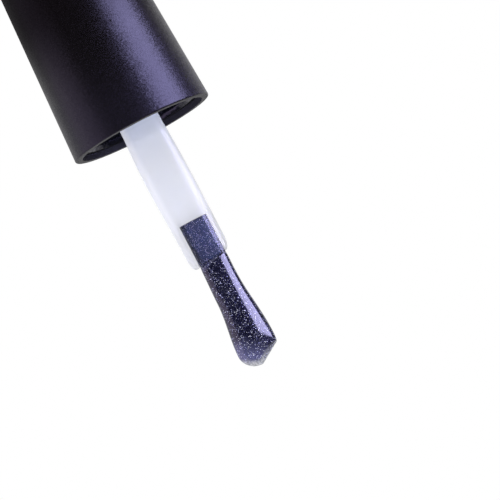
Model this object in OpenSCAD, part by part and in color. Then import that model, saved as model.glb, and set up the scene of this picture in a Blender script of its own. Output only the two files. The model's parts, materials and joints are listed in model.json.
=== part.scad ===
// Nail polish applicator: a satin overcap over a threaded inner cap, with a flat brush
// stem and a polish-loaded tuft hanging from it.
// Millimetres. +Z runs up the axis to the cap's closed top, X is the brush's width and
// Y its thickness. The origin is the centre of the overcap's open rim.

/* [Overcap] */
// Outer diameter at the open mouth
mouth_d = 17.5; // [17:0.1:19]
// Outer diameter at the closed top
top_d = 14.3; // [14.2:0.1:16]
// Height from the rim to the closed top
cap_h = 34; // [28:0.5:42]
// Wall thickness
wall_t = 0.9; // [0.8:0.05:0.95]
// Thickness of the closed top
roof_t = 1.6; // [1.2:0.1:3]
// Radius of the outer edge round the closed top
top_edge_r = 1; // [0.4:0.1:1.4]
// Radius of the outer edge round the mouth
lip_r = 0.2; // [0.1:0.05:0.3]
// Number of keying vanes under the closed top
vane_count = 6; // [4:1:8]
// Thickness of a keying vane
vane_t = 0.9; // [0.6:0.1:1.2]

/* [Inner cap] */
// How far the inner cap sits inside the rim
recess = 0.7; // [0.5:0.05:1.5]
// Outer diameter of the skirt between its ribs
skirt_d = 14.3; // [14.2:0.05:14.4]
// Thread diameter over the grooves
thread_major_d = 13.2; // [13:0.05:13.3]
// Thread diameter over the crests
thread_minor_d = 11.9; // [11.8:0.05:12.1]
// Thread pitch, 12 turns to the inch
thread_pitch = 2.12; // [2:0.01:2.2]
// Turns of thread
thread_turns = 1.6; // [1:0.1:2.5]
// Depth from the inner cap's mouth to its ceiling
thread_depth = 10.5; // [10:0.1:11.5]
// Thickness of the ceiling
ceiling_t = 1.2; // [0.8:0.1:1.6]
// Diameter of the ceiling hole for the stem's plug
plug_hole_d = 4.5; // [4:0.1:5]
// Number of grip ribs on the skirt
rib_count = 24; // [12:2:36]

/* [Seal] */
// Thickness of the sealing liner
liner_t = 0.8; // [0.5:0.1:1.2]
// Inner diameter of the sealing liner
liner_hole_d = 6; // [5.6:0.1:7]

/* [Stem] */
// Width of the flat blade where it leaves the flange
neck_w = 4.7; // [4.4:0.1:5]
// Width of the flat blade at the rim
blade_w = 5; // [4.8:0.1:5.6]
// Width of the flat blade at its widest
blade_tip_w = 5.4; // [5:0.1:5.8]
// Thickness of the flat blade
blade_t = 2.6; // [2.4:0.1:3]
// Distance from the rim to the blade's tip
blade_drop = 17.3; // [14:0.1:22]
// Height over which the blade's shoulders round off
shoulder_h = 1.5; // [1:0.1:2.4]
// Depth of the socket that holds the bristles
socket_depth = 5; // [4:0.5:6]
// Width of the socket
socket_w = 3.4; // [3:0.1:3.6]
// Thickness of the socket
socket_t = 1.5; // [1.2:0.1:1.6]

/* [Brush] */
// Distance from the stem's tip to the tuft's tip
tuft_drop = 13.8; // [10:0.1:16]
// Width of the loaded tuft at its waist
waist_w = 3.6; // [3.5:0.1:4]
// Width of the loaded tuft at its belly
belly_w = 5; // [4.4:0.1:5.4]
// Thickness of the loaded tuft at its waist
waist_t = 2.4; // [2.2:0.1:2.5]
// Thickness of the loaded tuft at its belly
belly_t = 3.3; // [2.6:0.1:3.5]
// Thickness of polish over the bristles
coat_t = 0.26; // [0.2:0.02:0.3]
// Distance from the stem's tip to the line the bristles bend about
bend_drop = 1.35; // [1.2:0.05:2]

/* [Hidden] */
$fn = 96;

gap = 0.03;                                   // assembly clearance between seated pieces
overlap = 0.1;                                // how far pieces of one solid run into each other
past = 1;                                     // how far a cutting shape runs past what it cuts
taper = (mouth_d - top_d) / 2 / cap_h;        // radius lost per millimetre of height
function outer_r(z) = mouth_d / 2 - taper * z;
function inner_r(z) = outer_r(z) - wall_t;

ceiling_z = recess + thread_depth;            // underside of the inner cap's ceiling
ceiling_top_z = ceiling_z + ceiling_t;
spigot_h = 2;                                 // notched ring above the ceiling
spigot_r = 6.6;
spigot_t = 1;
vane_inner_r = 4.4;                           // the vanes reach inwards to this radius
bead_z = 10;                                  // snap bead inside the overcap
bead_h = 0.8;
bead_out = 0.12;
collar_h = 0.8;                               // solid collar at the inner cap's mouth
rib_w = 0.8;
rib_end_gap = 0.2;                            // the ribs stop this far below the bead
thread_step = 15;                             // turn of one segment of the thread's ridge
thread_run = 5;                               // segments over which the ridge rises at each end
thread_low_z = recess + 1.9;                  // middle of the ridge where it starts
thread_sink = 0.3;                            // how far the thread's ridge is rooted in the skirt
thread_root_half = 0.62;                      // half the ridge's width at its root
thread_crest_half = 0.22;                     // half the ridge's width at its crest

flange_r = thread_minor_d / 2 - 0.15;
flange_t = 1.15;
flange_z = ceiling_z - gap - flange_t;        // underside of the stem's flange
liner_z = flange_z - gap - liner_t;
barb_h = 1.4;                                 // barb that holds the plug in the ceiling's hole
barb_out = 0.4;                               // how far the barb stands out beyond the plug
barb_in = 0.3;                                // how far the barb's top draws in from the plug
tip_z = -blade_drop;
wide_z = -7;                                  // height at which the blade is widest
blade_end_w = blade_tip_w - 0.4;              // blade width where its shoulders start
blade_edge_r = blade_t / 2 - 0.05;            // rounding along the blade's long edges
shoulder_w = socket_w + 0.4;                  // blade width left at its tip
shoulder_t = 2;                               // blade thickness left at its tip
nose_h = 1.6;                                 // height over which the thickness rounds off
tip_slant = 0.12;                             // how steeply the blade's end is cut
socket_top_z = tip_z + socket_depth;

staple_w = socket_w - socket_t + 0.6;
staple_h = 1.6;
staple_t = 0.3;
staple_notch_r = 0.25;                        // notches that bite the socket's wall
staple_z = socket_top_z - 0.25 - staple_h;    // underside of the staple

bend_z = tip_z - bend_drop;                   // height of the bend line
knuckle_r = waist_t / 2 - coat_t;             // round upper end of the tuft, which it turns on
knuckle_gap = 0.06;
knuckle_side_gap = 0.3;                       // the round end is this much narrower on each side
coat_start = 0.9;                             // polish starts this far below the bend line
coat_cut_rise = 0.06;                         // the coat's bore starts this share of the length above it
apex_x = -0.1;                                // the tuft's point sits off centre
corner_u = 0.885;                             // share of the length at the squared corner
round_u = 0.85;                               // share where the other side starts to round
thin_u = 0.66;                                // share where the thickness starts to run out
tip_thin = 0.16;                              // thickness left at the point, as a share
tip_half = 0.06;                              // half the width and thickness left at the point
tuft_power = 2.5;                             // squareness of the tuft's section
tuft_steps = 28;                              // points round the tuft's section
tuft_rows = 8;                                // sections between the tuft's start and its corner

// ---- outlines shared by the lofted pieces ----

// A point on a squared ellipse: power 2 is an ellipse, higher is squarer
function squared(c, power) = sign(c) * pow(abs(c), 2 / power);
function ring(z, x0, half_w, half_t, power, steps) =
    [for (i = [0 : steps - 1]) let (a = 360 * (i + 0.5) / steps)
        [x0 + half_w * squared(cos(a), power), half_t * squared(sin(a), power), z]];
function smooth(s) = let (c = max(0, min(1, s))) c * c * (3 - 2 * c);
function mix(a, b, s) = a + (b - a) * s;
function quarter(s) = sqrt(max(0, 1 - pow(max(0, min(1, s)), 2)));

// A closed skin over a stack of rings, first ring at the top
module loft(rings) {
    steps = len(rings[0]);
    last = len(rings) - 1;
    points = [for (r = rings) each r];
    sides = [for (k = [0 : last - 1], i = [0 : steps - 1]) let (j = (i + 1) % steps)
        each [[k * steps + i, k * steps + j, (k + 1) * steps + j],
              [k * steps + i, (k + 1) * steps + j, (k + 1) * steps + i]]];
    lid = [[for (i = [steps - 1 : -1 : 0]) i]];
    base = [[for (i = [0 : steps - 1]) last * steps + i]];
    polyhedron(points, concat(sides, lid, base), convexity = 4);
}

// A bar of rounded section along Z, its ends round when seen from above
module slot_bar(w, t, z0, z1) {
    translate([0, 0, z0]) linear_extrude(z1 - z0) {
        square([w - t, t], center = true);
        for (side = [-1, 1]) translate([side * (w - t) / 2, 0]) circle(d = t);
    }
}

// ---- loaded tuft: share u runs from 0 at the stem's tip to 1 at the point ----

// The right side widens early and the left side later
function right_belly(u) = smooth((u - 0.1) / 0.68);
function left_belly(u) = smooth((u - 0.3) / 0.5);
function right_edge(u) = let (full = mix(waist_w, belly_w, right_belly(u)) / 2)
    u < corner_u ? full : mix(full, apex_x, (u - corner_u) / (1 - corner_u));
function left_edge(u) = let (full = -mix(waist_w, belly_w, left_belly(u)) / 2)
    mix(apex_x, full, quarter((u - round_u) / (1 - round_u)));
function half_thick(u) =
    mix(waist_t, belly_t, right_belly(u)) / 2 * mix(tip_thin, 1, quarter((u - thin_u) / (1 - thin_u)));
// inset moves the whole skin inwards and draws its point up
function tuft_ring(u, inset) =
    let (v = u * (tuft_drop - 2 * inset) / tuft_drop,
         r = right_edge(u) - inset, l = left_edge(u) + inset)
    ring(tip_z - v * tuft_drop, (r + l) / 2, max(tip_half, (r - l) / 2), max(tip_half, half_thick(u) - inset),
         tuft_power, tuft_steps);
// Shares for the sections, closer together from the corner to the point
function tuft_shares(from) = concat(
    [for (i = [0 : tuft_rows - 1]) mix(from, corner_u, i / tuft_rows)],
    [for (a = [0 : 18 : 90]) mix(corner_u, 0.985, sin(a))]);

module overcap() {
    color([0.12, 0.10, 0.17]) difference() {
        rotate_extrude() polygon(concat(
            [[0, 0]],
            [for (a = [0 : 15 : 90]) [outer_r(0) - lip_r * (1 - sin(a)), lip_r * (1 - cos(a))]],
            [for (a = [0 : 7.5 : 90])
                [outer_r(cap_h) - top_edge_r * (1 - cos(a)), cap_h - top_edge_r * (1 - sin(a))]],
            [[0, cap_h]]));
        difference() {
            rotate_extrude() polygon([[0, -past], [inner_r(0), -past], [inner_r(0), 0],
                                      [inner_r(cap_h - roof_t), cap_h - roof_t], [0, cap_h - roof_t]]);
            rotate_extrude() translate([inner_r(bead_z), bead_z])
                polygon([[overlap * 3, -bead_h], [0, -bead_h / 2], [-bead_out, 0], [0, bead_h / 2],
                         [overlap * 3, bead_h]]);
            vanes(vane_t);
        }
    }
}

module vanes(thick) {
    low_z = ceiling_top_z + 0.1;
    for (i = [0 : vane_count - 1]) rotate([0, 0, 360 * i / vane_count])
        translate([vane_inner_r, -thick / 2, low_z]) cube([mouth_d, thick, cap_h - low_z]);
}

module inner_cap() {
    color([0.03, 0.03, 0.04]) {
        difference() {
            union() {
                translate([0, 0, recess]) cylinder(d = skirt_d, h = thread_depth + ceiling_t);
                translate([0, 0, recess]) cylinder(r = inner_r(recess + collar_h) - gap, h = collar_h);
                skirt_ribs(recess + overlap, bead_z - bead_h - rib_end_gap);
                translate([0, 0, ceiling_top_z - overlap]) cylinder(r = spigot_r, h = spigot_h + overlap);
            }
            translate([0, 0, recess - past]) cylinder(d = thread_major_d, h = thread_depth + past);
            translate([0, 0, ceiling_z - past]) cylinder(d = plug_hole_d, h = ceiling_t + 2 * past);
            translate([0, 0, ceiling_top_z]) cylinder(r = spigot_r - spigot_t, h = spigot_h + past);
            intersection() {
                vanes(vane_t + 4 * gap);
                translate([0, 0, ceiling_top_z]) cylinder(d = mouth_d, h = spigot_h + past);
            }
        }
        thread();
    }
}

// Straight ribs that meet the overcap's tapered wall at their upper ends
module skirt_ribs(z0, z1) {
    intersection() {
        translate([0, 0, z0]) cylinder(r = inner_r(z1) - gap, h = z1 - z0);
        for (i = [0 : rib_count - 1]) rotate([0, 0, 360 * i / rib_count])
            translate([skirt_d / 2 - overlap, -rib_w / 2, z0]) cube([2, rib_w, z1 - z0]);
    }
}

// One helical ridge inside the skirt, built of short ring segments that climb by the pitch and
// rise out of the wall at one end and sink back into it at the other
module thread() {
    root_r = thread_major_d / 2 + thread_sink;
    count = round(360 * thread_turns / thread_step);
    for (k = [0 : count - 1]) {
        rise = min(1, (1 + min(k, count - 1 - k)) / thread_run);
        crest_r = mix(thread_major_d / 2, thread_minor_d / 2, rise);
        rotate([0, 0, thread_step * k])
            translate([0, 0, thread_low_z + thread_pitch * thread_step * k / 360])
                rotate_extrude(angle = thread_step + 0.2)
                    polygon([[root_r, -thread_root_half], [crest_r, -thread_crest_half],
                             [crest_r, thread_crest_half], [root_r, thread_root_half]]);
    }
}

module sealing_liner() {
    color([0.88, 0.88, 0.86]) translate([0, 0, liner_z]) difference() {
        cylinder(r = flange_r, h = liner_t);
        translate([0, 0, -past]) cylinder(d = liner_hole_d, h = liner_t + 2 * past);
    }
}

module brush_stem() {
    plug_r = plug_hole_d / 2 - gap;
    barb_z = ceiling_top_z + gap;
    color([0.86, 0.87, 0.92]) {
        translate([0, 0, flange_z]) cylinder(r = flange_r, h = flange_t);
        translate([0, 0, flange_z]) cylinder(r = plug_r, h = barb_z - flange_z + overlap);
        translate([0, 0, barb_z]) cylinder(r1 = plug_r + barb_out, r2 = plug_r - barb_in, h = barb_h);
        difference() {
            blade();
            slot_bar(socket_w, socket_t, tip_z - past, socket_top_z);
        }
    }
}

// Flat blade: a bar with rounded long edges, cut to its outline from the front and from the side
module blade() {
    low_z = tip_z - blade_tip_w * tip_slant;
    top_z = flange_z + overlap;
    intersection() {
        translate([0, 0, low_z])
            linear_extrude(top_z - low_z) rounded_rect(blade_tip_w, blade_t, blade_edge_r);
        rotate([90, 0, 0]) linear_extrude(2 * blade_t, center = true) polygon(concat(
            [[-neck_w / 2, top_z], [-blade_w / 2, 0], [-blade_tip_w / 2, wide_z]],
            [for (a = [0 : 15 : 90]) shoulder_point(-1, a)],
            [for (a = [90 : -15 : 0]) shoulder_point(1, a)],
            [[blade_tip_w / 2, wide_z], [blade_w / 2, 0], [neck_w / 2, top_z]]));
        rotate([90, 0, 90]) linear_extrude(2 * blade_tip_w, center = true) polygon(concat(
            [[-blade_t / 2 - past, top_z]],
            [for (a = [0 : 15 : 90]) nose_point(-1, a)],
            [for (a = [90 : -15 : 0]) nose_point(1, a)],
            [[blade_t / 2 + past, top_z]]));
    }
}

// The blade's end is cut on a slant, so its two shoulders sit at different heights
function slant_z(x) = tip_z + tip_slant * x;
function shoulder_point(side, a) = let (x = side * (shoulder_w + (blade_end_w - shoulder_w) * cos(a)) / 2)
    [x, slant_z(x) + shoulder_h * (1 - sin(a))];
function nose_point(side, a) =
    [side * (shoulder_t + (blade_t + 0.02 - shoulder_t) * cos(a)) / 2,
     tip_z - blade_end_w / 2 * tip_slant + nose_h * (1 - sin(a))];

module rounded_rect(w, t, r) {
    square([w - 2 * r, t], center = true);
    square([w, t - 2 * r], center = true);
    for (x = [-1, 1], y = [-1, 1]) translate([x * (w / 2 - r), y * (t / 2 - r)]) circle(r = r);
}

module tuft_staple() {
    color([0.75, 0.76, 0.78]) translate([0, 0, staple_z])
        difference() {
            translate([-staple_w / 2, -staple_t / 2, 0]) cube([staple_w, staple_t, staple_h]);
            for (x = [-1, 1]) translate([x * staple_w / 2, 0, staple_h / 2])
                rotate([90, 0, 0]) cylinder(r = staple_notch_r, h = 2 * staple_t, center = true, $fn = 24);
        }
}

module bristle_root() {
    fit = 2 * gap;
    color([0.22, 0.22, 0.36]) difference() {
        slot_bar(socket_w - fit, socket_t - fit, bend_z, socket_top_z - gap);
        translate([-staple_w / 2 - gap, -staple_t / 2 - gap, staple_z - gap])
            cube([staple_w + fit, staple_t + fit, staple_h + fit]);
        translate([0, 0, bend_z]) rotate([0, 90, 0])
            cylinder(r = knuckle_r + knuckle_gap, h = socket_w + past, center = true);
    }
}

module bristle_tuft() {
    inset = coat_t + gap;
    knuckle_w = waist_w - 2 * inset - 2 * knuckle_side_gap;
    color([0.07, 0.07, 0.13]) {
        translate([0, 0, bend_z]) rotate([0, 90, 0]) cylinder(r = knuckle_r, h = knuckle_w, center = true);
        loft([for (u = tuft_shares(bend_drop / tuft_drop)) tuft_ring(u, inset)]);
    }
}

module polish_coat() {
    start_u = (bend_drop + coat_start) / tuft_drop;
    color([0.10, 0.10, 0.18]) difference() {
        loft([for (u = tuft_shares(start_u)) tuft_ring(u, 0)]);
        loft(concat([tuft_ring(start_u - coat_cut_rise, coat_t)],
                    [for (u = tuft_shares(start_u)) tuft_ring(u, coat_t)]));
    }
}

overcap();
inner_cap();
sealing_liner();
brush_stem();
tuft_staple();
bristle_root();
bristle_tuft();
polish_coat();
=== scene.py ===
"""Looks of a nail polish applicator: satin screw cap, milky stem and a tuft loaded with glitter polish.

Everything is in metres in the CAD frame: +Z up the cap's axis, X across the brush's width, Y through
its thickness, and the origin at the centre of the overcap's open rim. Colours are linear.
"""

import json
import math
import random

import bpy
from mathutils import Matrix, Vector


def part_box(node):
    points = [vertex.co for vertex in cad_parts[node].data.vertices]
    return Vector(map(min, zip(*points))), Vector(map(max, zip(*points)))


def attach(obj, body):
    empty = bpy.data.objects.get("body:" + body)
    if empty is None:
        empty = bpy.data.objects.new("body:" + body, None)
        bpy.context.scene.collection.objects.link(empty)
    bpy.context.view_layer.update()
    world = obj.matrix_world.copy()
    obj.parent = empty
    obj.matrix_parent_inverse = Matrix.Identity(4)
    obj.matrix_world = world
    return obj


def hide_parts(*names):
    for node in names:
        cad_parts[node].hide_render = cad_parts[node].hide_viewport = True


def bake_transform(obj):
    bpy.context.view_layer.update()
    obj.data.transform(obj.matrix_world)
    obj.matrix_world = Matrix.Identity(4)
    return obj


MM = 0.001
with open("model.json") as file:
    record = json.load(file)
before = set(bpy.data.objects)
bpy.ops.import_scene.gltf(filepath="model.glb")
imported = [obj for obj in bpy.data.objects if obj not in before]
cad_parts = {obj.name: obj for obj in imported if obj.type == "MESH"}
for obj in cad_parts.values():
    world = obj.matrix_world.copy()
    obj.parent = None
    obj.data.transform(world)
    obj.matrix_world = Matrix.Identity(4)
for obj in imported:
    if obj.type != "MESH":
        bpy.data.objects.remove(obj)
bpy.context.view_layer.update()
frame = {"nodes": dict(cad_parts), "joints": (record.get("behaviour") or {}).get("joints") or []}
rng = random.Random(7)

# ---- sizes, from the frame where the CAD has them ----

CAP_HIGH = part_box("overcap")[1]
STEM_TOP_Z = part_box("brush_stem")[1].z
INNER_LOW, INNER_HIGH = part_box("inner_cap")
LINER_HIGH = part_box("sealing_liner")[1]
ROOT_LOW, ROOT_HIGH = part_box("bristle_root")
COAT_LOW, COAT_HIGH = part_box("polish_coat")
BEND_Z = frame["joints"][0]["pos_m"][2]

CAP_TOP_R = 7.15 * MM
SEAT_GAP = 0.03 * MM  # between pieces that are seated on each other
STEM_TIP_Z = BEND_Z + 1.35 * MM
TUFT_TIP_Z = COAT_LOW.z
TUFT_DROP = STEM_TIP_Z - TUFT_TIP_Z
ROOT_W, ROOT_T = ROOT_HIGH.x - ROOT_LOW.x, ROOT_HIGH.y - ROOT_LOW.y
WAIST_W, WAIST_T = 3.6 * MM, 2.4 * MM
BELLY_W, BELLY_T = COAT_HIGH.x - COAT_LOW.x, COAT_HIGH.y - COAT_LOW.y
APEX_X = -0.3 * MM  # the tuft's point
LEAN = 0.12 * MM  # sideways, at the brush's end
CORE_SHIFT = 0.15 * MM  # sideways, of the bristles in the stem
MOUTH_SLOPE = 0.12  # of the stem's mouth, across the width


# ---- small helpers ----


def mix(a, b, s):
    """The value a share s of the way from a to b."""
    return a + (b - a) * s


def share(value, low, high):
    """How far the value is from low to high, kept within 0 and 1."""
    return min(1.0, max(0.0, (value - low) / (high - low)))


def rise(value, low, high):
    """Smooth step: 0 at low, 1 at high."""
    s = share(value, low, high)
    return s * s * (3 - 2 * s)


def rounded_off(value, low, high):
    """A quarter circle's height: 1 at low, falling to 0 at high."""
    return math.sqrt(1 - share(value, low, high) ** 2)


def quarter_turn(k, steps):
    """Sine and cosine at step k of a quarter turn."""
    angle = math.pi / 2 * k / steps
    return math.sin(angle), math.cos(angle)


def lean(z):
    """The brush hangs a little off the cap's axis towards its end."""
    return LEAN * rise(-z, 4 * MM, 16 * MM)


def core_x(z):
    """Middle of the bristles, which sit a little to one side in the stem and just below it."""
    return lean(z) + CORE_SHIFT * rise(z, STEM_TIP_Z - 0.4 * TUFT_DROP, STEM_TIP_Z)


def slant(x):
    """Height of the stem's mouth over its middle, because it is cut slightly aslant."""
    return MOUTH_SLOPE * x


# ---- rings and skins ----


def rounded_ring(width, thick, radius, steps):
    """Points round a rounded rectangle, evenly spaced along each quarter."""
    a, b = width / 2, thick / 2
    r = min(radius, a, b)
    flat_x, flat_y, arc = a - r, b - r, math.pi * r / 2
    quarter_len = flat_x + flat_y + arc
    first = []
    for i in range(steps // 4):
        s = quarter_len * (i + 0.5) / (steps // 4)
        if s < flat_y:
            first.append((a, s))
        elif s < flat_y + arc:
            t = (s - flat_y) / r
            first.append((flat_x + r * math.cos(t), flat_y + r * math.sin(t)))
        else:
            first.append((flat_x - (s - flat_y - arc), b))
    second = [(-x, y) for x, y in reversed(first)]
    return first + second + [(-x, -y) for x, y in first] + [(x, -y) for x, y in reversed(first)]


def squared_ring(width, thick, power, steps):
    """Points round a squared ellipse; power 2 is an ellipse, and less is more pointed."""
    ring = []
    for i in range(steps):
        t = 2 * math.pi * (i + 0.5) / steps
        c, s = math.cos(t), math.sin(t)
        x = width / 2 * math.copysign(abs(c) ** (2 / power), c)
        y = thick / 2 * math.copysign(abs(s) ** (2 / power), s)
        ring.append((x, y))
    return ring


def turned_ring(radii, z):
    """Points of a turned ring, one for each radius, evenly spaced."""
    step = 2 * math.pi / len(radii)
    return [(r * math.cos(step * i), r * math.sin(step * i), z) for i, r in enumerate(radii)]


def mesh_object(name, verts, faces, smooth_angle=40):
    mesh = bpy.data.meshes.new(name)
    mesh.from_pydata([tuple(v) for v in verts], [], faces)
    mesh.update()
    obj = bpy.data.objects.new(name, mesh)
    bpy.context.scene.collection.objects.link(obj)
    mesh.shade_smooth()
    mesh.set_sharp_from_angle(angle=math.radians(smooth_angle))
    return obj


def band_faces(low, high, steps):
    """Faces between two rings, each given by the number of its first point."""
    faces = []
    for i in range(steps):
        j = (i + 1) % steps
        faces.append((low + i, high + i, high + j, low + j))
    return faces


def skin(name, rings, smooth_angle, loop=False):
    """A closed skin over rings of equal length: in a loop, or with a centre point at each end."""
    steps = len(rings[0])
    verts = [p for ring in rings for p in ring]
    faces = []
    for k in range(len(rings) if loop else len(rings) - 1):
        faces += band_faces(k * steps, (k + 1) % len(rings) * steps, steps)
    if not loop:
        for ring, start, flip in ((rings[0], 0, False), (rings[-1], (len(rings) - 1) * steps, True)):
            centre = sum((Vector(p) for p in ring), Vector()) / steps
            verts.append(tuple(centre))
            tip = len(verts) - 1
            for i in range(steps):
                a, b = start + i, start + (i + 1) % steps
                faces.append((b, a, tip) if flip else (a, b, tip))
    return mesh_object(name, verts, faces, smooth_angle)


# ---- node trees ----


class Nodes:
    """Short calls for building the node tree of a material or of the world."""

    def __init__(self, owner, output):
        self.owner = owner
        owner.use_nodes = True
        self.tree = owner.node_tree
        self.tree.nodes.clear()
        self.out = self.add(output)

    def new(self, kind, inputs):
        node = self.tree.nodes.new("ShaderNode" + kind)
        for key, value in inputs.items():
            socket = node.inputs[key]
            if isinstance(value, bpy.types.NodeSocket):
                self.tree.links.new(value, socket)
            else:
                socket.default_value = value
        return node

    def add(self, kind, **inputs):
        """A node with its inputs given by name, with _ for a space."""
        return self.new(kind, {key.replace("_", " "): value for key, value in inputs.items()})

    def math(self, op, a, b=0.0, clamp=False):
        node = self.new("Math", {0: a, 1: b})
        node.operation = op
        node.use_clamp = clamp
        return node.outputs[0]

    def plus(self, a, b):
        return self.math("ADD", a, b)

    def minus(self, a, b):
        return self.math("SUBTRACT", a, b)

    def times(self, a, b):
        return self.math("MULTIPLY", a, b)

    def larger(self, a, b):
        return self.math("MAXIMUM", a, b)

    def vector(self, op, a, b=(0, 0, 0)):
        node = self.new("VectorMath", {0: a, 1: b})
        node.operation = op
        return node.outputs["Value" if op in ("DOT_PRODUCT", "LENGTH") else "Vector"]

    def scaled(self, a, factor):
        node = self.new("VectorMath", {0: a, 3: factor})
        node.operation = "SCALE"
        return node.outputs[0]

    def tilted(self, normal, colour, amount):
        """The normal, tilted by a random colour."""
        turn = self.scaled(self.vector("SUBTRACT", colour, (0.5, 0.5, 0.5)), amount)
        return self.vector("NORMALIZE", self.vector("ADD", normal, turn))

    def ramp(self, value, low, high, at_low=0.0, at_high=1.0, kind="SMOOTHSTEP"):
        node = self.new("MapRange", {0: value, 1: low, 2: high, 3: at_low, 4: at_high})
        node.interpolation_type = kind
        return node.outputs[0]

    def fall(self, value, low, high):
        return self.ramp(value, low, high, 1.0, 0.0)

    def band(self, value, low, high, soft):
        """1 between low and high, with soft ends."""
        after_low = self.ramp(value, low - soft, low + soft)
        return self.times(after_low, self.fall(value, high - soft, high + soft))

    def wander(self, noise, width):
        """Noise as a distance, over about this width and centred on 0."""
        return self.times(self.minus(noise, 0.5), width)

    def blend(self, share_of_b, a, b):
        """A colour between a and b. The Mix node keeps its colour sockets at 6, 7 and 2."""
        node = self.new("Mix", {0: share_of_b, 6: a, 7: b})
        node.data_type = "RGBA"
        return node.outputs[2]

    def mix_shader(self, share_of_b, a, b):
        return self.new("MixShader", {0: share_of_b, 1: a, 2: b}).outputs[0]

    def noise(self, where, scale, detail=2.0, rough=0.5):
        return self.add("TexNoise", Vector=where, Scale=scale, Detail=detail, Roughness=rough).outputs[0]

    def cells(self, where, scale):
        return self.add("TexVoronoi", Vector=where, Scale=scale)

    def bump(self, height, distance, strength):
        return self.add("Bump", Height=height, Distance=distance, Strength=strength).outputs[0]

    def principled(self, **inputs):
        return self.add("BsdfPrincipled", **inputs).outputs[0]

    def parts(self, vector):
        """The three components of a vector."""
        return tuple(self.add("SeparateXYZ", Vector=vector).outputs)

    def channels(self, colour):
        return tuple(self.add("SeparateColor", Color=colour).outputs)

    def place(self):
        return self.add("TexCoord").outputs["Object"]

    def faces_down(self, normal, end):
        """1 on faces that look down, falling to 0 where the normal's height reaches the end."""
        return self.fall(self.parts(normal)[2], -0.95, end)

    def surface(self, shader):
        self.tree.links.new(shader, self.out.inputs["Surface"])
        return self.owner


def new_material(name):
    return Nodes(bpy.data.materials.new(name), "OutputMaterial")


# ---- materials ----


def satin_lacquer():
    """Violet-black satin lacquer with a fine pearl grain. Painted shade: its sheen gives way to matt towards
    the closed end, sooner on the left, and its colour is darker and browner above the mouth, where the light
    falls off. The rim's edge is bare and matt, and the inside is plain moulded plastic."""
    violet_top_z = 11 * MM
    # Painted shade: from these heights the sheen gives way to matt, earlier on the left, as the light falls
    # off.
    shade_start_z, shade_full_z, shade_left_lead, shade_lead_half = 10.5 * MM, 21 * MM, 4 * MM, 3 * MM
    painted_shade_share, coat_depth, top_edge = 0.80, 0.5 * MM, 1.2 * MM
    # Painted shade: above violet_top_z the base colour is darker and browner, below it a lighter violet.
    darkest_shaded_top, lightest_shaded_top = (0.0030, 0.0019, 0.0023, 1), (0.0060, 0.0045, 0.0056, 1)
    darkest_low, lightest_low = (0.0060, 0.0048, 0.0085, 1), (0.0100, 0.0082, 0.0150, 1)

    m = new_material("satin_lacquer")
    where = m.place()
    x, _, z = m.parts(where)
    geometry = m.add("NewGeometry")
    grain = m.cells(where, 9000).outputs["Color"]
    normal = m.tilted(geometry.outputs["Normal"], grain, amount=0.15)
    pearl = m.channels(grain)[2]
    upper = m.blend(pearl, darkest_shaded_top, lightest_shaded_top)
    low = m.blend(pearl, darkest_low, lightest_low)
    colour = m.blend(m.fall(z, 0.0, violet_top_z), upper, low)
    rough = m.plus(m.times(m.noise(where, 900, detail=4.0, rough=0.6), 0.10), 0.29)
    glossy = m.principled(Base_Color=colour, Roughness=rough, IOR=1.5, Normal=normal,
                          Specular_IOR_Level=0.29, Specular_Tint=(0.84, 0.82, 1.0, 1))
    dull = m.add("BsdfDiffuse", Color=colour).outputs[0]
    # Painted shade: the matt share grows with height, led on the left, to fade the highlight.
    fade = m.plus(z, m.ramp(x, -shade_lead_half, shade_lead_half, shade_left_lead, 0.0))
    lacquer = m.mix_shader(m.ramp(fade, shade_start_z, shade_full_z, 0.0, painted_shade_share), glossy, dull)

    bare = m.principled(Base_Color=(0.075, 0.074, 0.072, 1), Roughness=0.6, IOR=1.5,
                        Specular_IOR_Level=0.15)
    inside = m.principled(Base_Color=(0.026, 0.025, 0.038, 1), Roughness=0.45, IOR=1.5,
                          Specular_IOR_Level=0.12)
    radius = m.vector("LENGTH", m.vector("MULTIPLY", where, (1, 1, 0)))
    taper = (CAP_HIGH.x - CAP_TOP_R) / CAP_HIGH.z
    depth = m.minus(m.minus(CAP_HIGH.x, radius), m.times(z, taper))
    shell = m.mix_shader(m.math("GREATER_THAN", depth, coat_depth), lacquer, inside)
    at_top = m.math("GREATER_THAN", z, CAP_HIGH.z - top_edge)
    shell = m.mix_shader(at_top, shell, lacquer)
    rim = m.faces_down(geometry.outputs["True Normal"], -0.6)
    return m.surface(m.mix_shader(rim, shell, bare))


def black_plastic():
    """Glossy black moulded plastic with a slight ripple, and a duller mouth face."""
    m = new_material("black_plastic")
    where = m.place()
    ripple = m.bump(m.noise(where, 900, detail=3.0), 0.16 * MM, strength=0.8)
    rough = m.ramp(m.noise(where, 1500, detail=3.0), 0.3, 0.7, at_low=0.10, at_high=0.22)
    glossy = m.principled(Base_Color=(0.006, 0.006, 0.010, 1), Roughness=rough, IOR=1.5, Normal=ripple,
                          Specular_Tint=(0.75, 0.70, 1.0, 1))
    dull = m.principled(Base_Color=(0.010, 0.010, 0.012, 1), Roughness=0.7, IOR=1.5,
                        Specular_IOR_Level=0.05)
    mouth_face = m.faces_down(m.add("NewGeometry").outputs["True Normal"], -0.8)
    return m.surface(m.mix_shader(mouth_face, glossy, dull))


def liner_foam():
    """Matt foamed polyethylene."""
    m = new_material("liner_foam")
    where = m.place()
    pores = m.bump(m.cells(where, 5000).outputs["Distance"], 0.05 * MM, strength=0.5)
    tone = m.blend(m.noise(where, 1200, detail=3.0), (0.72, 0.72, 0.68, 1), (0.84, 0.84, 0.80, 1))
    return m.surface(m.principled(Base_Color=tone, Roughness=0.7, Normal=pores))


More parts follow.
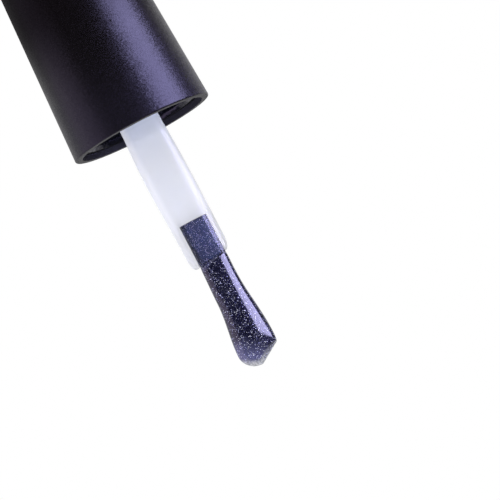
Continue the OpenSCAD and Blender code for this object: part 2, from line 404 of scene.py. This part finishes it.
def milky_plastic():
    """Milky polyethylene. A faint painted glow rises up it into the mouth's shade, standing for light
    carried up inside it, a faint painted glow lights its thin left edge, and it is clear over the bristles
    in its socket."""
    # Painted light: emission that brightens the stem up into the mouth and along its left edge.
    piped_low_z, piped_high_z, piped_glow_strength = -5 * MM, 2.5 * MM, 0.14
    edge_outer_x, edge_inner_x, edge_glow_strength = -2.3 * MM, -1.5 * MM, 0.07
    piped_glow_colour, edge_glow_colour = (0.70, 0.84, 1.25, 1), (1.0, 0.96, 0.98, 1)
    soft_in, soft_out = 0.05 * MM, 0.1 * MM
    socket_half = ROOT_W / 2 + SEAT_GAP

    m = new_material("milky_polyethylene")
    where = m.place()
    x, _, z = m.parts(where)
    tint = m.blend(m.noise(where, 300, detail=3.0), (0.83, 0.845, 0.90, 1), (0.86, 0.87, 0.92, 1))
    off_middle = m.math("ABSOLUTE", m.minus(x, core_x(STEM_TIP_Z)))
    over_root = m.times(m.fall(off_middle, socket_half - soft_in, socket_half + soft_out),
                        m.fall(z, ROOT_HIGH.z - soft_in, ROOT_HIGH.z + soft_out))

    def by_root(away, over):
        return m.ramp(over_root, 0.0, 1.0, away, over)

    # Painted glow masks: along the left edge, and rising towards the mouth.
    edge = m.fall(x, edge_outer_x, edge_inner_x)
    piped = m.ramp(z, piped_low_z, piped_high_z, 0.0, piped_glow_strength)
    plastic = m.principled(Base_Color=tint, IOR=1.4, Transmission_Weight=by_root(0.30, 0.97),
                           Roughness=by_root(0.2, 0.05), Specular_IOR_Level=by_root(0.28, 0.8),
                           Subsurface_Weight=1.0, Subsurface_Scale=MM, Subsurface_Radius=(2.5, 2.5, 2.6),
                           Emission_Color=m.blend(edge, piped_glow_colour, edge_glow_colour),
                           Emission_Strength=m.plus(piped, m.times(edge, edge_glow_strength)))
    return m.surface(plastic)


def staple_steel():
    """Plain drawn stainless steel."""
    m = new_material("staple_steel")
    lines = m.noise(m.vector("MULTIPLY", m.place(), (1, 1, 12)), 3000)
    rough = m.ramp(lines, 0.3, 0.7, at_low=0.25, at_high=0.45)
    return m.surface(m.principled(Base_Color=(0.62, 0.63, 0.65, 1), Metallic=1.0, Roughness=rough))


def bristle_nylon():
    """Fine clear nylon wetted with thin violet polish."""
    m = new_material("bristle_nylon")
    tone = m.blend(m.noise(m.place(), 2500), (0.20, 0.20, 0.33, 1), (0.42, 0.42, 0.55, 1))
    return m.surface(m.principled(Base_Color=tone, Roughness=0.3, IOR=1.53, Transmission_Weight=0.5))


def flakes(m, where, normal, per_metre, chosen_share, dimmest, power):
    """Metal flakes in a share of small cells: their mask, facing, brightness and colour."""
    core_radius, tilt = 0.45, 0.25
    violet, white = (0.45, 0.46, 1.0, 1), (0.95, 0.96, 1.0, 1)
    cells = m.cells(where, per_metre)
    pick, brightness, hue = m.channels(cells.outputs["Color"])[:3]
    chosen = m.math("GREATER_THAN", pick, 1 - chosen_share)
    core = m.math("LESS_THAN", cells.outputs["Distance"], core_radius)
    facing = m.tilted(normal, cells.outputs["Color"], tilt)
    bright = m.ramp(m.math("POWER", brightness, power), 0.0, 1.0, dimmest, 1.0, kind="LINEAR")
    return m.times(chosen, core), facing, bright, m.blend(hue, violet, white)


def wet_polish():
    """Dark violet polish full of fine metal flakes under its own wet gloss; its brightest large flakes glow
    as painted glints. It is smeared thin in the socket, where its flakes are painted brighter, and at its
    mouth. At the lower left it is lighter violet with brighter flakes, partly thinner polish and partly a
    painted sheen, and it is thin and pale at the tip."""
    meniscus_x, meniscus_slope, meniscus_wander = 1.1 * MM, 0.41, 0.8 * MM
    mouth_soft, stem_soft = 0.2 * MM, 0.15 * MM
    thin_sheen_full, thin_sheen_end, thin_sheen_slope, thin_sheen_wander = 0.3 * MM, 3.2 * MM, 0.9, 2.4 * MM
    tip_height, tip_slope, tip_wander, tip_share = 0.9 * MM, 0.45, 0.8 * MM, 0.95
    fine_dimming, stem_sparkle_boost, glint_power = 0.13, 3.0, 3.0
    between_flakes = (0.008, 0.008, 0.04, 1)
    deep_ink, thin_sheen_ink = (0.004, 0.004, 0.020, 1), (0.085, 0.085, 0.190, 1)
    mouth_smear, stem_smear = (0.045, 0.046, 0.105, 1), (0.060, 0.088, 0.180, 1)
    grey_strand, pale_strand = (0.45, 0.46, 0.47, 1), (0.78, 0.78, 0.78, 1)

    m = new_material("wet_polish")
    where = m.place()
    x, _, z = m.parts(where)
    skin_normal = m.add("NewGeometry").outputs["Normal"]
    fine, fine_normal, fine_bright, fine_colour = flakes(
        m, where, skin_normal, per_metre=14000, chosen_share=0.38, dimmest=0.05, power=2.0)
    large, large_normal, large_bright, large_colour = flakes(
        m, where, skin_normal, per_metre=12500, chosen_share=0.19, dimmest=0.15, power=1.6)
    normal = m.blend(large, m.blend(fine, skin_normal, fine_normal), large_normal)
    metal = m.larger(fine, large)

    film = m.noise(where, 350)
    meniscus = m.minus(z, m.times(m.minus(x, meniscus_x), meniscus_slope))
    meniscus = m.plus(meniscus, m.wander(film, meniscus_wander))
    smeared = m.ramp(meniscus, STEM_TIP_Z - mouth_soft, STEM_TIP_Z + mouth_soft)
    in_stem = m.ramp(z, STEM_TIP_Z - stem_soft, STEM_TIP_Z + stem_soft)
    # Painted sheen, partly thinner polish: lighter violet ink and brighter flakes towards the lower left.
    lower_left = m.plus(m.plus(z, m.times(x, thin_sheen_slope)), m.wander(film, thin_sheen_wander))
    thin_sheen = m.fall(lower_left, TUFT_TIP_Z + thin_sheen_full, TUFT_TIP_Z + thin_sheen_end)

    # Painted sparkle: the flakes are brightened in the socket and at the lower left.
    shine = m.larger(m.times(fine_bright, fine_dimming), m.times(large, large_bright))
    sparkle_boost = m.plus(m.larger(thin_sheen, m.times(in_stem, stem_sparkle_boost)), 1.0)
    shine = m.math("MULTIPLY", shine, sparkle_boost, clamp=True)
    silver = m.blend(shine, between_flakes, m.blend(large, fine_colour, large_colour))
    ink = m.blend(thin_sheen, deep_ink, thin_sheen_ink)
    ink = m.blend(smeared, ink, m.blend(in_stem, mouth_smear, stem_smear))
    # Painted glints: the brightest large flakes glow.
    glint = m.times(large, m.math("POWER", large_bright, glint_power))
    body = m.principled(Base_Color=m.blend(metal, ink, silver), Metallic=m.times(metal, 0.12),
                        Roughness=0.35, Normal=normal, Specular_IOR_Level=0.1,
                        Coat_Weight=m.minus(1.0, in_stem), Coat_Roughness=0.03, Coat_IOR=1.5,
                        Coat_Normal=m.bump(m.noise(where, 250), 0.02 * MM, strength=0.6),
                        Emission_Color=large_colour, Emission_Strength=glint)

    strands = m.noise(m.vector("MULTIPLY", where, (1, 1, 0.15)), 4000)
    pale = m.blend(m.ramp(strands, 0.35, 0.65), grey_strand, pale_strand)
    tip = m.principled(Base_Color=pale, Roughness=0.25, IOR=1.4, Transmission_Weight=0.25)
    height = m.plus(z, m.wander(m.noise(where, 900, detail=3.0), tip_wander))
    height = m.minus(height, m.times(m.math("ABSOLUTE", m.minus(x, APEX_X)), tip_slope))
    thin = m.ramp(height, TUFT_TIP_Z, TUFT_TIP_Z + tip_height, tip_share, 0.0)
    return m.surface(m.mix_shader(thin, body, tip))


def pale_floor():
    """Pale matt floor that fades into the white background, and isn't seen from below or in reflections."""
    m = new_material("pale_floor")
    where = m.place()
    tone = m.blend(m.noise(where, 8, detail=3.0), (0.86, 0.86, 0.87, 1), (0.90, 0.90, 0.91, 1))
    matt = m.principled(Base_Color=tone, Roughness=0.8)
    far = m.ramp(m.vector("LENGTH", where), 0.15, 0.5)
    gone = m.larger(far, m.add("NewGeometry").outputs["Backfacing"])
    gone = m.larger(gone, m.add("LightPath").outputs["Is Glossy Ray"])
    return m.surface(m.mix_shader(gone, matt, m.add("BsdfTransparent").outputs[0]))


# ---- inner cap: one turned skin whose bore carries a true helical thread ----

THREAD_R, CREST_R = 6.6 * MM, 5.95 * MM
PITCH, TURNS = 2.12 * MM, 1.6
THREAD_START_Z = INNER_LOW.z + 1.9 * MM


def thread_height(turn, z):
    """0 in the groove and 1 on the crest, at a turn angle and a height."""
    root_half, crest_half, run_out = 0.62 * MM, 0.22 * MM, 0.18
    best = 0.0
    for lap in range(-1, int(TURNS) + 2):
        along = turn / (2 * math.pi) + lap
        if 0 <= along <= TURNS:
            off = abs(z - (THREAD_START_Z + PITCH * along))
            height = share(off, root_half, crest_half)
            best = max(best, height * rise(along, 0, run_out) * rise(TURNS - along, 0, run_out))
    return rise(best, 0, 1)


def inner_cap():
    steps, bore_rows, fillet_steps = 192, 110, 6
    mouth_z, top_z = INNER_LOW.z, INNER_HIGH.z
    ceiling_z = LINER_HIGH.z + 1.21 * MM
    ceiling_top_z = ceiling_z + 1.2 * MM
    collar_r, collar_top_z, collar_slope = INNER_HIGH.x, mouth_z + 0.8 * MM, 0.1 * MM
    skirt_r, fillet = 7.15 * MM, 0.12 * MM
    spigot_r, spigot_inner_r, hole_r = 6.6 * MM, 5.6 * MM, 2.25 * MM
    lead_in, ease = 0.45 * MM, 0.03 * MM

    outside = []
    for k in range(fillet_steps + 1):
        s, c = quarter_turn(k, fillet_steps)
        outside.append((collar_r - fillet + fillet * s, mouth_z + fillet - fillet * c))
    outside += [
        (collar_r, collar_top_z),
        (skirt_r, collar_top_z + collar_slope),
        (skirt_r, ceiling_top_z),
        (spigot_r, ceiling_top_z),
        (spigot_r, top_z),
        (spigot_inner_r, top_z),
        (spigot_inner_r, ceiling_top_z),
        (hole_r, ceiling_top_z),
        (hole_r, ceiling_z),
        (THREAD_R, ceiling_z),
    ]
    mouth = [
        (THREAD_R, mouth_z + lead_in),
        (THREAD_R + ease, mouth_z + lead_in - 2 * ease),
        (THREAD_R + lead_in - ease, mouth_z + ease),
        (THREAD_R + lead_in + ease, mouth_z),
    ]
    rings = [turned_ring([r] * steps, z) for r, z in outside]
    for k in range(bore_rows):
        z = mix(ceiling_z, mouth_z + lead_in, (k + 1) / (bore_rows + 1))
        heights = [thread_height(2 * math.pi * i / steps, z) for i in range(steps)]
        rings.append(turned_ring([mix(THREAD_R, CREST_R, h) for h in heights], z))
    rings += [turned_ring([r] * steps, z) for r, z in mouth]
    return skin("inner_cap_shell", rings, 50, loop=True)


# ---- stem: outside from the barb down to the tip, then back up inside the socket ----


def blade_ring(width, thick, radius, steps, oval, power):
    """A ring between a rounded rectangle, oval 0, and a squared ellipse, oval 1."""
    boxy = rounded_ring(width, thick, radius, steps)
    round_one = squared_ring(width, thick, power, steps)
    return [(mix(p[0], q[0], oval), mix(p[1], q[1], oval)) for p, q in zip(boxy, round_one)]


def stem():
    steps = 128
    plug_r, barb_out, barb_in = 2.22 * MM, 0.4 * MM, 0.3 * MM
    flange_r, flange_edge = LINER_HIGH.x, 0.1 * MM
    flange_z, flange_top_z = LINER_HIGH.z + SEAT_GAP, LINER_HIGH.z + 1.18 * MM
    barb_z = flange_top_z + 1.26 * MM
    blade_t, edge_r, fillet = 2.6 * MM, 1.25 * MM, 0.3 * MM
    neck_w, rim_w, wide_w, end_w = 4.7 * MM, 5.0 * MM, 5.4 * MM, 5.2 * MM
    wide_z = -7 * MM
    socket_w, socket_t, socket_top_z = ROOT_W + 2 * SEAT_GAP, ROOT_T + 2 * SEAT_GAP, ROOT_HIGH.z + SEAT_GAP
    shoulder_w, shoulder_t, shoulder_h, shoulder_r = socket_w + 0.7 * MM, 2.0 * MM, 1.5 * MM, 0.8 * MM
    shoulder_z = STEM_TIP_Z + shoulder_h
    lip, slant_from = 0.12 * MM, 0.85
    rim_oval, end_oval = 0.5, 0.95
    full_power, keen_power, full_z, keen_z = 2.0, 1.72, -8.5 * MM, -11.5 * MM
    rings = []

    def ring(width, thick, radius, z, slanted=0.0, oval=0.0, middle=lean):
        power = mix(full_power, keen_power, rise(z, full_z, keen_z))
        points = blade_ring(width, thick, radius, steps, oval, power)
        rings.append([(x + middle(z), y, z + slanted * slant(x)) for x, y in points])

    def roundness(z):
        if z > 0:
            return rim_oval * (1 - rise(z, 0, flange_z))
        return mix(rim_oval, end_oval, rise(-z, 0, 9 * MM))

    def blade_width(z):
        if z > 0:
            return mix(rim_w, neck_w, z / flange_z)
        if z > wide_z:
            return mix(wide_w, rim_w, (1 - z / wide_z) ** 2)
        return mix(wide_w, end_w, rise(z, wide_z, shoulder_z))

    plug_and_flange = (
        (plug_r - barb_in, STEM_TOP_Z),
        (plug_r + barb_out, barb_z),
        (plug_r, barb_z),
        (plug_r, flange_top_z),
        (flange_r - flange_edge, flange_top_z),
        (flange_r, flange_top_z - flange_edge),
        (flange_r, flange_z + flange_edge),
        (flange_r - flange_edge, flange_z),
    )
    for r, z in plug_and_flange:
        ring(2 * r, 2 * r, r, z)

    fillet_steps = 5
    for k in range(fillet_steps + 1):
        s, c = quarter_turn(k, fillet_steps)
        grow = fillet * (1 - s)
        ring(neck_w + 2 * grow, blade_t + 2 * grow, edge_r + grow, flange_z - fillet * (1 - c))

    blade_steps = 60
    for k in range(1, blade_steps + 1):
        s = k / blade_steps
        z = mix(flange_z - fillet, shoulder_z, s)
        ring(blade_width(z), blade_t, edge_r, z, rise(s, slant_from, 1), roundness(z))

    shoulder_steps = 24
    for k in range(1, shoulder_steps + 1):
        s, c = quarter_turn(k, shoulder_steps)
        ring(mix(shoulder_w, end_w, c), mix(shoulder_t, blade_t, c), mix(shoulder_r, edge_r, c),
             STEM_TIP_Z + shoulder_h * (1 - s), 1.0, end_oval * c)

    lip_steps = 4
    for k in range(lip_steps + 1):
        s, c = quarter_turn(k, lip_steps)
        grow = lip * (1 - s)
        ring(socket_w + 2 * grow, socket_t + 2 * grow, socket_t / 2 + grow, STEM_TIP_Z + lip * (1 - c), 1.0,
             middle=core_x)

    socket_steps = 12
    for k in range(1, socket_steps + 1):
        s = k / socket_steps
        z = mix(STEM_TIP_Z + lip, socket_top_z, s)
        ring(socket_w, socket_t, socket_t / 2, z, 1 - s, middle=core_x)
    return skin("stem_blade", rings, 35)


# ---- tuft: outline of the loaded brush, shared by the polish and the bristles ----
# u is 0 at the stem's mouth and 1 at the point.

SPREAD_U = 0.08  # the polish has swollen out of the mouth
CORNER_ROUND_U, CORNER_U = 0.8, 0.885  # the right side rounds into a corner, then runs to the point
ROUND_U = 0.85  # the left side starts to round off
THIN_U = 0.62  # the thickness starts to round off


def right_belly(u):
    return rise(u, 0.1, 0.78)


def left_belly(u):
    return rise(u, 0.36, 0.86)


def left_half(u):
    return mix(WAIST_W, BELLY_W, left_belly(u)) / 2


def right_edge(u):
    corner_round = 0.22 * MM
    rounding = corner_round * (1 - rounded_off(u, CORNER_ROUND_U, CORNER_U))
    full = mix(WAIST_W, BELLY_W, right_belly(u)) / 2 - rounding
    return full if u < CORNER_U else mix(full, APEX_X, (u - CORNER_U) / (1 - CORNER_U))


def left_edge(u):
    return mix(APEX_X, -left_half(u), rounded_off(u, ROUND_U, 1))


def half_thick(u):
    point_share = 0.16
    return mix(WAIST_T, BELLY_T, right_belly(u)) / 2 * mix(point_share, 1, rounded_off(u, THIN_U, 1))


def polish():
    """Closed skin of the loaded tuft, from inside the socket down to the point."""
    steps, socket_steps = 144, 24
    film, slant_end_u, waist_power, belly_power = 0.07 * MM, 0.25, 2.05, 1.75
    socket_w, socket_t = ROOT_W + film, ROOT_T + film
    socket_points = rounded_ring(socket_w, socket_t, socket_t / 2, steps)
    rings = []
    for k in range(socket_steps + 1):
        s = k / socket_steps
        z = mix(ROOT_HIGH.z, STEM_TIP_Z, s)
        rings.append([(x + core_x(z), y, z + s * slant(x)) for x, y in socket_points])

    swell_steps, side_steps, end_steps = 14, 84, 40
    end_from_u, end_u = CORNER_U - 0.02, 0.998
    rows = [SPREAD_U * (1 - quarter_turn(k + 1, swell_steps)[1]) for k in range(swell_steps)]
    rows += [mix(SPREAD_U, end_from_u, (k + 1) / side_steps) for k in range(side_steps)]
    rows += [mix(end_from_u, end_u, quarter_turn(k + 1, end_steps)[0]) for k in range(end_steps)]
    for u in rows:
        z = STEM_TIP_Z - u * TUFT_DROP
        spread = rounded_off(u, SPREAD_U, 0)
        left, right = left_edge(u), right_edge(u)
        width = mix(socket_w, right - left, spread)
        thick = mix(socket_t, 2 * half_thick(u), spread)
        middle = (left + right) / 2 + core_x(z)
        slanted = 1 - rise(u, 0, slant_end_u)
        points = squared_ring(width, thick, mix(waist_power, belly_power, right_belly(u)), steps)
        rings.append([(middle + x, y, z + slanted * slant(x)) for x, y in points])
    return skin("polish_coat_wet", rings, 60)


FILL_W, FILL_T = 0.9, 0.82  # shares of the polish's size that the bristles fill


def filament_end(a):
    """How far down a filament at a share a of the half width stays within the polish."""
    u, last_u, step_u, margin = 0.7, 0.975, 0.004, 0.15 * MM
    while u < last_u:
        x = a * left_half(u) * FILL_W
        if not left_edge(u) + margin < x < right_edge(u) - margin:
            break
        u += step_u
    return u


def filament_middle(a, b, u):
    """Centre of a filament at u, for its shares a and b of the tuft's half width and thickness."""
    socket_half_w, socket_half_t, spread_u, side_thinning = 1.62 * MM, 0.6 * MM, 0.15, 0.94
    z = STEM_TIP_Z - u * TUFT_DROP
    below = max(0.0, u)
    spread = rise(below, 0, spread_u)
    half_w = mix(socket_half_w, left_half(below) * FILL_W, spread)
    thinned = half_thick(below) * FILL_T * rounded_off(side_thinning * abs(a), 0, 1)
    return a * half_w + core_x(z), b * mix(socket_half_t, thinned, spread), z


def bristles():
    """225 fine filaments, from inside the socket down to the tuft's rounded tip."""
    across, deep, sides, rows = 25, 9, 6, 16
    filament_r, cut_share = 0.055 * MM, 0.7
    reach_a, reach_b = 0.93, 0.86
    stray_a, stray_b, uneven_cut = 0.01, 0.03, 0.012
    top_u = (STEM_TIP_Z - (ROOT_HIGH.z - 0.05 * MM)) / TUFT_DROP
    verts, faces = [], []
    for i in range(across):
        for j in range(deep):
            a = mix(-reach_a, reach_a, (i + 0.5 * (j % 2)) / (across - 0.5)) + rng.uniform(-stray_a, stray_a)
            b = mix(-reach_b, reach_b, j / (deep - 1)) + rng.uniform(-stray_b, stray_b)
            end_u = filament_end(a) - rng.uniform(0, uneven_cut)
            start = len(verts)
            for k in range(rows + 1):
                x, y, z = filament_middle(a, b, mix(top_u, end_u, k / rows))
                r = filament_r if k < rows else filament_r * cut_share
                verts += [(x + px, y + py, pz) for px, py, pz in turned_ring([r] * sides, z)]
            last = start + rows * sides
            for low in range(start, last, sides):
                faces += band_faces(low, low + sides, sides)
            faces.append(tuple(start + n for n in range(sides)))
            faces.append(tuple(last + n for n in reversed(range(sides))))
    return mesh_object("bristle_filaments", verts, faces, 60)


# ---- build the object ----


def dress(obj, material, body=None):
    obj.data.materials.clear()
    obj.data.materials.append(material)
    if body:
        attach(obj, body)
    return obj


nodes = frame["nodes"]
dress(nodes["overcap"], satin_lacquer())
dress(nodes["sealing_liner"], liner_foam())
dress(nodes["tuft_staple"], staple_steel())

cap_inside = dress(inner_cap(), black_plastic(), "applicator")
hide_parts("inner_cap")
blade = dress(stem(), milky_plastic(), "applicator")
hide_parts("brush_stem")
coat = dress(polish(), wet_polish())
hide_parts("polish_coat")
filaments = dress(bristles(), bristle_nylon())
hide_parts("bristle_root", "bristle_tuft")

for soft in (coat, filaments):
    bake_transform(soft)


# ---- stage ----


def floor():
    half, z = 1.5, -100 * MM
    corners = [(-half, -half, z), (half, -half, z), (half, half, z), (-half, half, z)]
    obj = mesh_object("studio_floor", corners, [(0, 1, 2, 3)])
    dress(obj, pale_floor())


def studio():
    """World light that turns with the camera: a tall violet softbox at the right, a soft fill at the
    left, white walls beyond the object, a white ceiling, and a dark room behind the camera. Angles are
    in degrees: azimuth 0 is behind the camera and 90 is to its right."""
    white, dark_wall = (1, 1, 1, 1), (0.012, 0.012, 0.016, 1)
    key_colour, fill_colour, diffuse_colour = (8.8, 8.5, 14.1), (0.95, 0.80, 1.05), (1.17, 1.18, 1.24, 1)
    to_degrees = 180 / math.pi

    world = bpy.data.worlds.new("studio")
    bpy.context.scene.world = world
    m = Nodes(world, "OutputWorld")
    ray = m.vector("NORMALIZE", m.add("TexCoord").outputs["Generated"])
    forward = m.new("VectorTransform", {0: (0, 0, 1)})
    forward.vector_type = "VECTOR"
    forward.convert_from = "CAMERA"
    forward.convert_to = "WORLD"
    heading = m.vector("NORMALIZE", m.vector("MULTIPLY", forward.outputs[0], (1, 1, 0)))
    right = m.vector("CROSS_PRODUCT", heading, (0, 0, 1))
    behind = m.times(m.vector("DOT_PRODUCT", ray, heading), -1)
    azimuth = m.times(m.math("ARCTAN2", m.vector("DOT_PRODUCT", ray, right), behind), to_degrees)
    elevation = m.times(m.math("ARCSINE", m.parts(ray)[2]), to_degrees)

    left_wall = m.ramp(azimuth, -130, -75, at_low=0.6, at_high=0.0)
    sides = m.larger(left_wall, m.ramp(azimuth, 112, 132, at_low=0.0, at_high=0.8))
    sides = m.times(sides, m.ramp(elevation, -50, -25))
    room = m.blend(m.larger(sides, m.ramp(elevation, 40, 60)), dark_wall, white)
    fill = m.times(m.band(azimuth, -110, -57, soft=7), m.fall(elevation, 15, 40))
    room = m.vector("ADD", room, m.scaled(fill_colour, fill))
    key = m.times(m.band(azimuth, 39.8, 87.5, soft=3), m.band(elevation, -6, 40, soft=2))
    key_strength = m.ramp(azimuth, 33, 86, at_low=0.85, at_high=1.1, kind="LINEAR")
    light = m.blend(key, room, m.scaled(key_colour, key_strength))

    path = m.add("LightPath").outputs
    light = m.blend(path["Is Diffuse Ray"], light, diffuse_colour)
    bounces = m.plus(path["Diffuse Depth"], path["Glossy Depth"])
    straight = m.times(path["Is Transmission Ray"], m.math("LESS_THAN", bounces, 0.5))
    seen = m.blend(m.larger(path["Is Camera Ray"], straight), light, white)
    m.surface(m.add("Background", Color=seen, Strength=1.0).outputs[0])
    world.cycles.sampling_method = "NONE"


def camera():
    """Looks up at the mouth from a little below, rolled so that the brush hangs down to the right."""
    tilt, roll = math.radians(4.5), math.radians(27.6)
    distance, view_width = 0.4, 58.5 * MM
    aim_right, aim_down = 12.58 * MM, 14.12 * MM
    ahead = Vector((0, math.cos(tilt), math.sin(tilt)))
    level, upright = Vector((1, 0, 0)), Vector((0, -math.sin(tilt), math.cos(tilt)))
    right = math.cos(roll) * level - math.sin(roll) * upright
    up = math.sin(roll) * level + math.cos(roll) * upright
    target = aim_right * right - aim_down * up
    data = bpy.data.cameras.new("photo_view")
    data.sensor_width = 36
    data.lens = data.sensor_width * distance / view_width
    data.clip_start, data.clip_end = 0.01, 10
    obj = bpy.data.objects.new("photo_view", data)
    bpy.context.scene.collection.objects.link(obj)
    place = Matrix((right, up, -ahead)).transposed().to_4x4()
    place.translation = target - distance * ahead
    obj.matrix_world = place
    bpy.context.scene.camera = obj


floor()
studio()
camera()
bpy.context.scene.view_settings.view_transform = "Standard"
bpy.context.scene.view_settings.look = "None"
